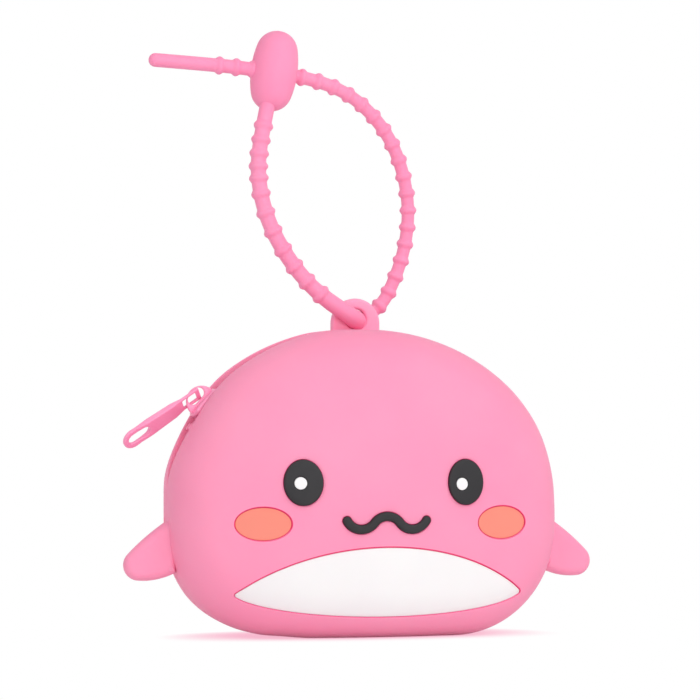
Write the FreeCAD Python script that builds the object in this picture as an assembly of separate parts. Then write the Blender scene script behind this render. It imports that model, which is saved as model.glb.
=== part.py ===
import FreeCAD, Part
import math
import os

# Zip coin purse: two soft shells bonded at a seam, a zip over the top and a loop strap.
# Millimetres. X is to the right seen from the front, the front faces -Y, Z is up.
# The origin is the middle of the flat base, and the seam lies in the plane Y = 0.

# Body outline in the seam plane: top arc, shoulders, upright sides, corners, flat base
half_width = 53.0
top_flattening = 5.5
top_radius = half_width + top_flattening
top_centre_height = 23.0
top_half_angle = 52.0
corner_radius = 28.5

# Crowned front and back, with rounded edges
half_depth = 25.0
crown_radius = 120.0
crown_height = 36.0
edge_radius = 16.0
wall = 2.2

# Zip mouth between the two rims
mouth_half_gap = 4.2
mouth_taper_height = 57.0
mouth_end_height = 40.0
mouth_end_radius = 0.6

# Zip tape, bonded in a seat under each rim
tape_seat_depth = 2.0
tape_thickness = 0.6
tape_outer_edge = 8.0
tape_inner_edge = 1.5
tape_end_gap = 0.2
tape_end_height = 34.0

# Moulded zip teeth
tooth_pitch = 2.3
tooth_width = 0.9
tooth_height = 2.4
tooth_outer_edge = 2.2
tooth_reach = 0.8
tooth_grip_clearance = 0.02
chain_start_angle = -47.6
chain_end_angle = 51.5

# Stops at the ends of the teeth
stop_length = 2.0
stop_inner_edge = 0.5
stop_outer_edge = 2.3
top_stop_angle = -55.0
bottom_stop_angle = 54.5

# Zip slider, drawn at the top of the arc and turned to its place
slider_angle = -48.0
slider_length = 9.4
slider_nose_half_width = 3.6
slider_rear_half_width = 3.1
slider_nose_bulge = 1.8
slider_clearance = 0.25
slider_top_plate = 1.3
slider_bottom_plate = 1.2
slider_flange_width = 0.6
slider_tape_clearance = 0.3
slider_post_radius = 1.1
slider_post_length = 3.2
slider_post_setback = 0.3

# Bail on the slider, an arch with a rounded slot
bail_width = 1.0
bail_length = 8.4
bail_height = 4.0
bail_slot_radius = 1.2
bail_slot_length = 4.2
bail_slot_height = 1.9

# Pull tab, with an eye round the bail and an oblong slot near its tip
pull_length = 24.0
pull_width = 4.8
pull_tip_width = 6.2
pull_eye_width = 4.2
pull_thickness = 0.8
pull_bar_diameter = 0.8
pull_eye_length = 5.0
pull_side_width = 0.7
pull_slot_length = 6.6
pull_slot_width = 3.2
pull_slot_margin = 1.5
pull_neck_length = 3.0
pull_lift = 14.0
pull_roll = 45.0

# Eyelet on top of the back shell
eyelet_x = 1.2
eyelet_front = 8.6
eyelet_thickness = 2.8
eyelet_half_width = 6.6
eyelet_hole_rise = 2.9
eyelet_hole_diameter = 6.2
eyelet_rim = 2.8

# Flippers in the side seam, reaching out from the body's side
flipper_reach = 11.6
flipper_tip_radius = 4.1
flipper_tip_height = 19.5
flipper_top_height = 32.4
flipper_bottom_height = 17.4
flipper_top_bow = 0.4
flipper_bottom_bow = 0.8
flipper_thickness = 5.0
flipper_edge_radius = 1.8

# Face inlays: how deep they sit and how far they stand out
inlay_depth = 1.2
inlay_clearance = 0.05
raised_height = 0.9
sunk_depth = 0.35
groove_width = 0.35

eye_x = 22.0
eye_height = 41.2
eye_half_width = 5.0
eye_half_height = 5.95
highlight_diameter = 3.2
highlight_offset = -0.9
highlight_depth = 0.8

lower_face_x = 0.7

cheek_side_distance = 20.8
cheek_drop = 10.7
cheek_half_width = 7.15
cheek_half_height = 4.4

mouth_height = 32.4
mouth_valley_x = 6.9
mouth_valley_drop = 3.4
mouth_stroke = 2.3
mouth_end_angle = 62.0

belly_side_margin = 13.7
belly_corner_height = 12.0
belly_top_height = 24.2
belly_bottom_height = 6.1
belly_top_overhang = 12.6
belly_bottom_overhang = 1.4
belly_corner_radius = 0.5

# Loop strap: ribbed cord, and the head that it grows out of and runs back through
cord_diameter = 3.7
rib_diameter = 5.0
rib_length = 2.6
rib_crest = 1.0
rib_pitch = 4.55
front_rib_start = 7.8
front_rib_count = 12
back_rib_count = 18
tail_rib_count = 3
cord_tip_length = 1.2
cord_tip_diameter = 2.4
rib_head_gap = 0.2
cord_section_step = 1.2

strap_head_centre = (-21.5, 9.5, 151.2)
strap_head_length = 21.8
strap_head_diameter = 12.6
strap_head_end_radius = 5.6
strap_head_tilt = 8.0
strap_bore_clearance = 0.4
strap_socket_clearance = 0.1

strap_route = [
    (-23.0, 8.0, 143.5),
    (-24.6, 6.5, 137.4),
    (-26.0, 6.0, 130.5),
    (-26.5, 6.0, 124.0),
    (-25.6, 6.0, 117.0),
    (-23.4, 6.0, 110.0),
    (-19.8, 6.0, 103.2),
    (-14.9, 6.0, 96.5),
    (-9.0, 6.0, 90.0),
    (0.4, 6.0, 84.0),
    (2.0, 14.2, 84.4),
    (9.0, 14.2, 88.2),
    (13.3, 13.8, 96.0),
    (16.2, 13.4, 104.6),
    (17.3, 12.8, 113.8),
    (16.1, 12.2, 122.6),
    (13.0, 11.6, 131.5),
    (7.9, 11.0, 138.6),
    (-0.7, 10.4, 144.7),
    (-12.0, 9.7, 149.0),
    (-29.5, 9.5, 151.8),
    (-43.0, 9.2, 152.6),
    (-56.1, 8.8, 153.2),
]

V = FreeCAD.Vector
AHEAD = V(0, -1, 0)
ACROSS = V(0, 1, 0)
UPWARD = V(0, 0, 1)
ORIGIN = V(0, 0, 0)
far = 4 * half_width
zip_centre = V(0, 0, top_centre_height)

parts = {}


def polar(centre_x, centre_z, radius, degrees):
    """A point of the seam plane, at an angle from +X about a centre."""
    a = math.radians(degrees)
    return V(centre_x + radius * math.cos(a), 0, centre_z + radius * math.sin(a))


def arc(centre_x, centre_z, radius, start, end):
    """An arc in the seam plane, between two angles."""
    middle = polar(centre_x, centre_z, radius, (start + end) / 2)
    first = polar(centre_x, centre_z, radius, start)
    last = polar(centre_x, centre_z, radius, end)
    return Part.Arc(first, middle, last).toShape()


def line(start, end):
    return Part.makeLine(start, end)


def closed(points):
    """The straight edges through some points and back to the first."""
    return [line(a, b) for a, b in zip(points, points[1:] + points[:1])]


def mirrored(shape, across):
    return shape.mirror(ORIGIN, across)


def turned(shape, degrees):
    """A copy turned about the zip's arc; positive goes to the right."""
    copy = shape.copy()
    copy.rotate(zip_centre, ACROSS, degrees)
    return copy


# The outline's shoulder arc touches the top arc and the upright side.
shoulder_sine = math.sin(math.radians(top_half_angle))
shoulder_radius = (half_width - top_radius * shoulder_sine) / (1 - shoulder_sine)
shoulder_x = half_width - shoulder_radius
shoulder_height = top_centre_height + (top_radius - shoulder_radius) * math.cos(math.radians(top_half_angle))
base_half_length = half_width - corner_radius
body_height = top_centre_height + top_radius


def outline(inset):
    """The body's outline in the seam plane, moved inwards by inset."""
    corner = corner_radius - inset
    shoulder = shoulder_radius - inset
    top = top_radius - inset
    rise = 90 - top_half_angle
    side = half_width - inset
    edges = [
        line(V(-base_half_length, 0, inset), V(base_half_length, 0, inset)),
        arc(base_half_length, corner_radius, corner, -90, 0),
        line(V(side, 0, corner_radius), V(side, 0, shoulder_height)),
        arc(shoulder_x, shoulder_height, shoulder, 0, rise),
        arc(0, top_centre_height, top, rise, 180 - rise),
        arc(-shoulder_x, shoulder_height, shoulder, 180 - rise, 180),
        line(V(-side, 0, shoulder_height), V(-side, 0, corner_radius)),
        arc(-base_half_length, corner_radius, corner, 180, 270),
    ]
    return Part.Wire(edges)


def half(inset):
    """The front half of the body as a solid, moved inwards by inset."""
    prism = Part.Face(outline(inset)).extrude(AHEAD * far)
    crown_centre = V(0, crown_radius - half_depth, crown_height)
    body = prism.common(Part.makeSphere(crown_radius - inset, crown_centre))
    rim = [e for e in body.Edges if e.BoundBox.YMax < -1]
    return body.makeFillet(edge_radius - inset, rim)


def seam_ring(outer_inset, inner_inset, near, away):
    """A band between two insets of the outline, from near to away in front of the seam."""
    ring = Part.Face(outline(outer_inset)).cut(Part.Face(outline(inner_inset)))
    ring.translate(AHEAD * near)
    return ring.extrude(AHEAD * (away - near))


def above(height):
    """Everything above a height, as a large box."""
    return Part.makeBox(2 * far, 2 * far, far, V(-far, -far, height))


def skin_piece(face, outer_inset, inner_inset):
    """A piece of the front's skin, inside a face that is drawn in the seam plane."""
    prism = face.extrude(AHEAD * far)
    return prism.common(half(outer_inset)).cut(half(inner_inset))


# Shells
half_shell = half(0).cut(half(wall))


def mouth_gap():
    """The gap between the rims seen from the side: it narrows below the stops to a round end."""
    end_height = mouth_end_height + mouth_end_radius
    left_end = V(-far, -mouth_end_radius, end_height)
    left_taper = V(-far, -mouth_half_gap, mouth_taper_height)
    left_top = V(-far, -mouth_half_gap, far)
    right_top = V(-far, mouth_half_gap, far)
    right_taper = V(-far, mouth_half_gap, mouth_taper_height)
    right_end = V(-far, mouth_end_radius, end_height)
    edges = [
        line(left_end, left_taper),
        line(left_taper, left_top),
        line(left_top, right_top),
        line(right_top, right_taper),
        line(right_taper, right_end),
        Part.Arc(right_end, V(-far, 0, mouth_end_height), left_end).toShape(),
    ]
    return Part.Face(Part.Wire(edges)).extrude(V(2 * far, 0, 0))


# Zip tapes, with a seat for each under its rim: their ends close up below the stops
tape_inset = tape_seat_depth + tape_thickness
tape_radius = top_radius - tape_seat_depth - tape_thickness / 2
lower_stop_angle = max(-top_stop_angle, bottom_stop_angle)
closed_height = top_centre_height + tape_radius * math.cos(math.radians(lower_stop_angle)) - stop_length
tape_ends = seam_ring(tape_seat_depth, tape_inset, tape_end_gap, tape_inner_edge).cut(above(closed_height))
tape_band = seam_ring(tape_seat_depth, tape_inset, tape_inner_edge, tape_outer_edge)
front_zip_tape = tape_band.fuse(tape_ends).common(above(tape_end_height)).removeSplitter()
parts["front_zip_tape"] = front_zip_tape
parts["back_zip_tape"] = mirrored(front_zip_tape, ACROSS)
half_shell = half_shell.cut(mouth_gap()).cut(front_zip_tape)


# Flippers
def flipper_face():
    """The right flipper's outline: a bowed top edge, a round tip and a lower edge that bows down to it."""
    tip_x = half_width + flipper_reach - flipper_tip_radius
    root_x = half_width - wall
    heel = polar(tip_x, flipper_tip_height, flipper_tip_radius, -80)
    root_low = V(root_x, 0, flipper_bottom_height)
    root_high = V(root_x, 0, flipper_top_height)
    shoulder = polar(tip_x, flipper_tip_height, flipper_tip_radius, 40)
    top_middle = (root_high + shoulder) * 0.5 + V(flipper_top_bow, 0, flipper_top_bow)
    bottom_middle = (root_low + heel) * 0.5 - UPWARD * flipper_bottom_bow
    tip = Part.Arc(shoulder, polar(tip_x, flipper_tip_height, flipper_tip_radius, -20), heel)
    edges = [
        Part.Arc(root_high, top_middle, shoulder).toShape(),
        tip.toShape(),
        Part.Arc(heel, bottom_middle, root_low).toShape(),
        line(root_low, root_high),
    ]
    return Part.Face(Part.Wire(edges))


def flipper():
    face = flipper_face()
    face.translate(ACROSS * (flipper_thickness / 2))
    solid = face.extrude(AHEAD * flipper_thickness)
    root = [e for e in solid.Edges if e.BoundBox.XMax < half_width and e.Length > flipper_thickness + 1]
    free = [e for e in solid.Edges if abs(e.BoundBox.YMax - e.BoundBox.YMin) < 0.01]
    free = [e for e in free if not any(e.isSame(r) for r in root)]
    return solid.makeFillet(flipper_edge_radius, free)


right_flipper = flipper()
left_flipper = mirrored(right_flipper, V(1, 0, 0))
parts["right_flipper"] = right_flipper
parts["left_flipper"] = left_flipper


# Face outlines, drawn in the seam plane
def oval(x, z, half_wide, half_high):
    """An upright or lying ellipse."""
    long_axis = V(1, 0, 0) if half_wide > half_high else UPWARD
    major = max(half_wide, half_high)
    minor = min(half_wide, half_high)
    centre = V(x, 0, z)
    side = long_axis.cross(AHEAD)
    ellipse = Part.Ellipse(centre + long_axis * major, centre + side * minor, centre)
    return Part.Face(Part.Wire(ellipse.toShape()))


def disc(x, z, diameter):
    return Part.Face(Part.Wire(Part.Circle(V(x, 0, z), AHEAD, diameter / 2).toShape()))


def bent_stroke(x, z, radius, start, end, width):
    """A stroke of one width along an arc."""
    outer = radius + width / 2
    inner = radius - width / 2
    edges = [
        arc(x, z, outer, start, end),
        line(polar(x, z, outer, end), polar(x, z, inner, end)),
        arc(x, z, inner, end, start),
        line(polar(x, z, inner, start), polar(x, z, outer, start)),
    ]
    return Part.Face(Part.Wire(edges))


def mouth_face(grow):
    """A hump between two valleys, in tangent arcs of one radius, with round ends."""
    width = mouth_stroke + 2 * grow
    radius = (mouth_valley_x**2 + mouth_valley_drop**2) / (4 * mouth_valley_drop)
    swing = math.degrees(math.asin(mouth_valley_x / 2 / radius))
    hump_z = mouth_height - radius
    valley_z = mouth_height - mouth_valley_drop + radius
    pieces = [bent_stroke(0, hump_z, radius, 90 - swing, 90 + swing, width)]
    for side in (-1, 1):
        x = side * mouth_valley_x
        inner = -90 - side * swing
        outer = -90 + side * mouth_end_angle
        pieces.append(bent_stroke(x, valley_z, radius, min(inner, outer), max(inner, outer), width))
        end = polar(x, valley_z, radius, outer)
        pieces.append(disc(end.x, end.z, width))
    return pieces[0].multiFuse(pieces[1:]).removeSplitter()


def belly_face(grow):
    """What lies under a wide oval and over a flat one, with rounded corners, moved outwards by grow."""
    half_wide = half_width - belly_side_margin
    top_spread = half_wide + belly_top_overhang
    bottom_spread = half_wide + belly_bottom_overhang
    rise = belly_top_height - belly_corner_height
    fall = belly_corner_height - belly_bottom_height
    top_half = rise / (1 - math.sqrt(1 - (half_wide / top_spread) ** 2))
    bottom_half = fall / (1 - math.sqrt(1 - (half_wide / bottom_spread) ** 2))
    middle = belly_bottom_height + bottom_half
    under = oval(lower_face_x, belly_top_height - top_half, top_spread + grow, top_half + grow)
    over = oval(lower_face_x, middle, bottom_spread + grow, bottom_half + grow)
    left = lower_face_x - bottom_spread - grow
    right = lower_face_x + bottom_spread + grow
    open_top = closed([V(left, 0, middle), V(right, 0, middle), V(right, 0, far), V(left, 0, far)])
    over = over.fuse(Part.Face(Part.Wire(open_top)))
    lens = under.common(over).removeSplitter().Faces[0].extrude(AHEAD)
    uprights = [e for e in lens.Edges if e.BoundBox.XLength < 0.01]
    lens = lens.makeFillet(belly_corner_radius + grow, uprights)
    return next(f for f in lens.Faces if abs(f.CenterOfMass.y) < 0.01)


def eye_face(side, grow):
    return oval(side * eye_x, eye_height, eye_half_width + grow, eye_half_height + grow)


def cheek_face(side, grow):
    x = lower_face_x + side * (half_width - cheek_side_distance)
    return oval(x, eye_height - cheek_drop, cheek_half_width + grow, cheek_half_height + grow)


# Inlays and their recesses
seat_inset = inlay_depth - inlay_clearance
recesses = []


def raised(name, face, opening):
    """An inlay that stands out from the front, and its close-fitting recess."""
    parts[name] = skin_piece(face, -raised_height, seat_inset)
    recesses.append(opening.extrude(AHEAD * far).cut(half(inlay_depth)))


def sunk(name, face, opening):
    """An inlay below the front's surface, with a groove round it."""
    parts[name] = skin_piece(face, sunk_depth, seat_inset)
    recesses.append(opening.extrude(AHEAD * far).cut(half(inlay_depth)))


for name, side in (("left", -1), ("right", 1)):
    raised(name + "_eye", eye_face(side, 0), eye_face(side, inlay_clearance))
    sunk(name + "_cheek", cheek_face(side, 0), cheek_face(side, groove_width))
    dot_x = side * eye_x + highlight_offset
    dot = disc(dot_x, eye_height, highlight_diameter)
    dot_hole = disc(dot_x, eye_height, highlight_diameter + 2 * inlay_clearance)
    dot_seat = highlight_depth - raised_height
    parts[name + "_eye_highlight"] = skin_piece(dot, -raised_height, dot_seat - inlay_clearance)
    parts[name + "_eye"] = parts[name + "_eye"].cut(skin_piece(dot_hole, -2 * raised_height, dot_seat))
raised("mouth", mouth_face(0), mouth_face(inlay_clearance))
sunk("belly_patch", belly_face(0), belly_face(groove_width))


# Eyelet, and the two finished shells
eyelet_hole_height = body_height + eyelet_hole_rise


def eyelet():
    """An upright lug with a round top, drawn from inside the body."""
    top = eyelet_hole_height + eyelet_hole_diameter / 2 + eyelet_rim
    round_height = top - eyelet_half_width
    left = eyelet_x - eyelet_half_width
    right = eyelet_x + eyelet_half_width
    edges = [
        line(V(left, 0, top_centre_height), V(right, 0, top_centre_height)),
        line(V(right, 0, top_centre_height), V(right, 0, round_height)),
        Part.Arc(V(right, 0, round_height), V(eyelet_x, 0, top), V(left, 0, round_height)).toShape(),
        line(V(left, 0, round_height), V(left, 0, top_centre_height)),
    ]
    plate = Part.Face(Part.Wire(edges)).extrude(ACROSS * eyelet_thickness)
    plate.translate(ACROSS * eyelet_front)
    return plate


def eyelet_hole():
    base = V(eyelet_x, eyelet_front, eyelet_hole_height)
    return Part.makeCylinder(eyelet_hole_diameter / 2, eyelet_thickness, base, ACROSS)


flipper_notch = right_flipper.fuse(left_flipper)
front_shell = half_shell.cut(flipper_notch)
for recess in recesses:
    front_shell = front_shell.cut(recess)
back_shell = mirrored(half_shell, ACROSS).cut(flipper_notch)
back_inside = mirrored(half(wall), ACROSS)
back_shell = back_shell.fuse(eyelet().cut(back_inside)).cut(eyelet_hole())
parts["front_shell"] = front_shell
parts["back_shell"] = back_shell.removeSplitter()

# Zip teeth: one tooth gripping the tape's edge, repeated along the arc
tooth_bottom = tape_radius - tooth_height / 2
tooth_top = tape_radius + tooth_height / 2


def tooth():
    """A front-row tooth at the top of the arc: a round-headed bar with a slot for the tape."""
    head = tooth_reach - tooth_width / 2
    left = -tooth_width / 2
    right = tooth_width / 2
    z = top_centre_height + tooth_bottom
    edges = [
        line(V(left, -tooth_outer_edge, z), V(right, -tooth_outer_edge, z)),
        line(V(right, -tooth_outer_edge, z), V(right, head, z)),
        Part.Arc(V(right, head, z), V(0, tooth_reach, z), V(left, head, z)).toShape(),
        line(V(left, head, z), V(left, -tooth_outer_edge, z)),
    ]
    bar = Part.Face(Part.Wire(edges)).extrude(UPWARD * tooth_height)
    slot_height = tape_thickness + 2 * tooth_grip_clearance
    slot_z = top_centre_height + tape_radius - slot_height / 2
    depth = tooth_outer_edge - tape_inner_edge + tooth_grip_clearance
    slot = Part.makeBox(2 * tooth_width, depth, slot_height, V(-tooth_width, -tooth_outer_edge, slot_z))
    return bar.cut(slot)


def tooth_row(single, first_angle):
    """Copies of a tooth along the zip's arc."""
    step = math.degrees(tooth_pitch / tape_radius)
    count = int((chain_end_angle - first_angle) / step) + 1
    return Part.makeCompound([turned(single, first_angle + k * step) for k in range(count)])


front_tooth = tooth()
half_step = math.degrees(tooth_pitch / tape_radius) / 2
parts["front_zip_teeth"] = tooth_row(front_tooth, chain_start_angle)
parts["back_zip_teeth"] = tooth_row(mirrored(front_tooth, ACROSS), chain_start_angle + half_step)


# Stops: blocks on the tape's edges, slotted like the teeth
def stop(inner, outer, angle):
    """A block at an angle of the arc, in front of the seam, from inner to outer."""
    base = V(-stop_length / 2, -outer, top_centre_height + tooth_bottom)
    block = turned(Part.makeBox(stop_length, outer - inner, tooth_height, base), angle)
    grip = seam_ring(
        tape_seat_depth - tooth_grip_clearance,
        tape_inset + tooth_grip_clearance,
        tape_inner_edge - tooth_grip_clearance,
        tape_outer_edge,
    )
    return block.cut(grip)


front_stop = stop(stop_inner_edge, stop_outer_edge, top_stop_angle)
parts["zip_top_stops"] = Part.makeCompound([front_stop, mirrored(front_stop, ACROSS)])
half_stop = stop(0, stop_outer_edge, bottom_stop_angle)
parts["zip_bottom_stop"] = half_stop.fuse(mirrored(half_stop, ACROSS)).removeSplitter()


# Slider: two curved plates joined by a dividing post at the nose, with flanges round the teeth
def arc_band(inner, outer, length, half_breadth):
    """A curved slab at the top of the zip's arc, between two radii."""
    start = zip_centre + AHEAD * half_breadth
    ring = Part.makeCylinder(outer, 2 * half_breadth, start, ACROSS)
    ring = ring.cut(Part.makeCylinder(inner, 2 * half_breadth, start, ACROSS))
    base = V(-length / 2, -half_breadth, top_centre_height)
    return ring.common(Part.makeBox(length, 2 * half_breadth, 2 * top_radius, base))


def tall(edges):
    """An upright prism over the top of the arc, on an outline drawn flat."""
    face = Part.Face(Part.Wire(edges))
    return face.extrude(UPWARD * (top_centre_height + 2 * top_radius))


slider_left = -slider_length / 2
slider_right = slider_length / 2
plate_bottom = tooth_top + slider_clearance
plate_top = plate_bottom + slider_top_plate
keel_top = tooth_bottom - slider_clearance
keel_bottom = keel_top - slider_bottom_plate
upper_flange_bottom = tape_radius + tape_thickness / 2 + slider_tape_clearance
lower_flange_top = tape_radius - tape_thickness / 2 - slider_tape_clearance


def slider_plan():
    """The slider seen from above: a bowed nose on the left, narrowing to the rear."""
    nose = slider_nose_half_width
    rear = slider_rear_half_width
    bulge = slider_left + slider_nose_bulge
    edges = [
        Part.Arc(V(bulge, nose, 0), V(slider_left, 0, 0), V(bulge, -nose, 0)).toShape(),
        line(V(bulge, -nose, 0), V(slider_right, -rear, 0)),
        line(V(slider_right, -rear, 0), V(slider_right, rear, 0)),
        line(V(slider_right, rear, 0), V(bulge, nose, 0)),
    ]
    return tall(edges)


def slider_channel():
    """The way through for the teeth, between the flanges."""
    nose = slider_nose_half_width - slider_flange_width
    rear = slider_rear_half_width - slider_flange_width
    bulge = slider_left + slider_nose_bulge
    points = [V(slider_left, nose, 0), V(slider_left, -nose, 0), V(bulge, -nose, 0)]
    points += [V(slider_right, -rear, 0), V(slider_right, rear, 0), V(bulge, nose, 0)]
    return tall(closed(points))


def slider_post():
    """The dividing post: round towards the nose and pointed towards the rear."""
    middle = slider_left + slider_post_setback + slider_post_radius
    tip = slider_left + slider_post_setback + slider_post_length
    upper = V(middle, slider_post_radius, 0)
    lower = V(middle, -slider_post_radius, 0)
    front = V(middle - slider_post_radius, 0, 0)
    edges = [Part.Arc(upper, front, lower).toShape(), line(lower, V(tip, 0, 0)), line(V(tip, 0, 0), upper)]
    return tall(edges)


def slider_layer(inner, outer):
    return arc_band(inner, outer, slider_length, slider_nose_half_width)


def bail():
    """An upright arch on the slider's back, with a slot that has round ends."""
    foot = top_centre_height + plate_bottom + slider_top_plate / 2
    crest = top_centre_height + plate_top
    half_length = bail_length / 2
    edges = [
        Part.Arc(V(-half_length, 0, crest), V(0, 0, crest + bail_height), V(half_length, 0, crest)).toShape(),
        line(V(half_length, 0, crest), V(half_length, 0, foot)),
        line(V(half_length, 0, foot), V(-half_length, 0, foot)),
        line(V(-half_length, 0, foot), V(-half_length, 0, crest)),
    ]
    arch = Part.Face(Part.Wire(edges)).extrude(AHEAD * bail_width)
    slot = slot_face(bail_slot_length, 2 * bail_slot_radius)
    slot.rotate(ORIGIN, V(1, 0, 0), 90)
    slot = slot.extrude(AHEAD * bail_width)
    slot.translate(UPWARD * (crest + bail_slot_height))
    arch = arch.cut(slot)
    arch.translate(ACROSS * (bail_width / 2))
    return arch


def slot_face(length, width):
    """A round-ended slot along X, drawn flat about the origin."""
    r = width / 2
    end = length / 2 - r
    edges = [
        line(V(-end, -r, 0), V(end, -r, 0)),
        Part.Arc(V(end, -r, 0), V(end + r, 0, 0), V(end, r, 0)).toShape(),
        line(V(end, r, 0), V(-end, r, 0)),
        Part.Arc(V(-end, r, 0), V(-end - r, 0, 0), V(-end, -r, 0)).toShape(),
    ]
    return Part.Face(Part.Wire(edges))


plates = slider_layer(plate_bottom, plate_top).fuse(slider_layer(keel_bottom, keel_top))
rails = slider_layer(upper_flange_bottom, plate_bottom).fuse(slider_layer(keel_top, lower_flange_top))
post = slider_layer(keel_top, plate_bottom).common(slider_post())
slider = plates.fuse(rails.cut(slider_channel())).common(slider_plan())
slider = slider.multiFuse([post, bail()]).removeSplitter()
parts["slider_body"] = turned(slider, slider_angle)

# Pull tab: drawn flat along X from its cross bar, then rolled, lifted and hung in the bail
pull_pivot = V(bail_slot_length / 2 - bail_slot_radius, 0, top_centre_height + plate_top + bail_slot_height)


def pull_flat():
    """The tab's plate with its eye and slot, and the round cross bar at the origin."""
    eye = pull_eye_width / 2
    side = pull_width / 2
    tip = pull_tip_width / 2
    wide = pull_eye_length + pull_neck_length
    round_start = pull_length - tip
    edges = [
        line(V(0, -eye, 0), V(pull_eye_length, -eye, 0)),
        line(V(pull_eye_length, -eye, 0), V(wide, -side, 0)),
        line(V(wide, -side, 0), V(round_start, -tip, 0)),
        Part.Arc(V(round_start, -tip, 0), V(pull_length, 0, 0), V(round_start, tip, 0)).toShape(),
        line(V(round_start, tip, 0), V(wide, side, 0)),
        line(V(wide, side, 0), V(pull_eye_length, eye, 0)),
        line(V(pull_eye_length, eye, 0), V(0, eye, 0)),
        line(V(0, eye, 0), V(0, -eye, 0)),
    ]
    plate = Part.Face(Part.Wire(edges)).extrude(UPWARD * pull_thickness)
    inner = eye - pull_side_width
    window = Part.makeBox(pull_eye_length, 2 * inner, pull_thickness, V(0, -inner, 0))
    slot = slot_face(pull_slot_length, pull_slot_width).extrude(UPWARD * pull_thickness)
    slot.translate(V(pull_length - pull_slot_margin - pull_slot_length / 2, 0, 0))
    plate = plate.cut(window).cut(slot)
    plate.translate(UPWARD * (-pull_thickness / 2))
    bar = Part.makeCylinder(pull_bar_diameter / 2, pull_eye_width, V(0, -eye, 0), ACROSS)
    return plate.fuse(bar).removeSplitter()


def framed(along, across, place):
    """A placement whose X and Y axes are the two given directions."""
    up = along.cross(across)
    rows = (along.x, across.x, up.x, place.x, along.y, across.y, up.y, place.y)
    rows += (along.z, across.z, up.z, place.z, 0, 0, 0, 1)
    return FreeCAD.Placement(FreeCAD.Matrix(*rows))


lift = math.radians(pull_lift)
roll = math.radians(pull_roll)
pull_along = V(-math.cos(lift), 0, math.sin(lift))
pull_outward = V(math.sin(lift), 0, math.cos(lift))
pull_across = ACROSS * math.cos(roll) - pull_outward * math.sin(roll)
pull = pull_flat()
pull.Placement = framed(pull_along, pull_across, pull_pivot)
parts["pull_tab"] = turned(pull, slider_angle)


# Strap: the cord's path is straight runs joined by tangent arcs
def route_edges(points):
    """The path's edges in order, with each arc as large as its two runs allow, and the arcs' radii."""
    edges = []
    radii = []
    start = points[0]
    for before, corner, after in zip(points, points[1:], points[2:]):
        come = corner - before
        go = after - corner
        reach = 0.45 * min(come.Length, go.Length)
        come.normalize()
        go.normalize()
        half_turn = come.getAngle(go) / 2
        radius = reach / math.tan(half_turn)
        enter = corner - come * reach
        leave = corner + go * reach
        inward = (go - come).normalize()
        middle = corner + inward * (radius / math.cos(half_turn) - radius)
        edges.append(Part.LineSegment(start, enter).toShape())
        edges.append(Part.Arc(enter, middle, leave).toShape())
        radii.append(radius)
        start = leave
    edges.append(Part.LineSegment(start, points[-1]).toShape())
    return edges, radii


def on_path(edges, distance):
    """The point and the direction at a distance along the path."""
    for edge in edges:
        if distance <= edge.Length:
            break
        distance -= edge.Length
    parameter = edge.getParameterByLength(min(distance, edge.Length))
    return edge.valueAt(parameter), edge.tangentAt(parameter)


route = [V(*p) for p in strap_route]
cord_path, cord_radii = route_edges(route)
cord_length = sum(e.Length for e in cord_path)
head_centre = V(*strap_head_centre)
bore_reach = strap_head_diameter / 2 + rib_length / 2 + rib_head_gap


def nearest_distance(edges, point, length):
    """How far along the path it comes nearest to a point, to a tenth of a millimetre."""
    steps = [k / 10 for k in range(int(10 * length))]
    return min(steps, key=lambda d: on_path(edges, d)[0].distanceToPoint(point))


bore_middle = nearest_distance(cord_path, head_centre, cord_length)
ribs = [front_rib_start + k * rib_pitch for k in range(front_rib_count)]
ribs += [bore_middle - bore_reach - k * rib_pitch for k in reversed(range(back_rib_count))]
ribs += [bore_middle + bore_reach + k * rib_pitch for k in range(tail_rib_count)]


def cord_sections():
    """Distance and diameter of each circle of the cord: four to a rib, and plain ones between."""
    steps = int((cord_length - cord_tip_length) / cord_section_step)
    plain = [k * cord_section_step for k in range(steps + 1)]
    clear = rib_length / 2 + cord_section_step / 2
    plain = [d for d in plain if d == 0 or all(abs(d - r) > clear for r in ribs)]
    sections = [(d, cord_diameter) for d in plain]
    for r in ribs:
        sections += [(r - rib_length / 2, cord_diameter), (r - rib_crest / 2, rib_diameter)]
        sections += [(r + rib_crest / 2, rib_diameter), (r + rib_length / 2, cord_diameter)]
    sections += [(cord_length - cord_tip_length, cord_diameter), (cord_length, cord_tip_diameter)]
    return sorted(sections)


def cord():
    """A ruled loft through circles whose X axis turns as little as the path lets it."""
    wires = []
    steady = ACROSS
    for distance, diameter in cord_sections():
        point, ahead = on_path(cord_path, distance)
        steady = (steady - ahead * steady.dot(ahead)).normalize()
        circle = Part.makeCircle(diameter / 2)
        circle.Placement = framed(steady, ahead.cross(steady), point)
        wires.append(Part.Wire(circle))
    return Part.makeLoft(wires, True, True)


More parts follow.
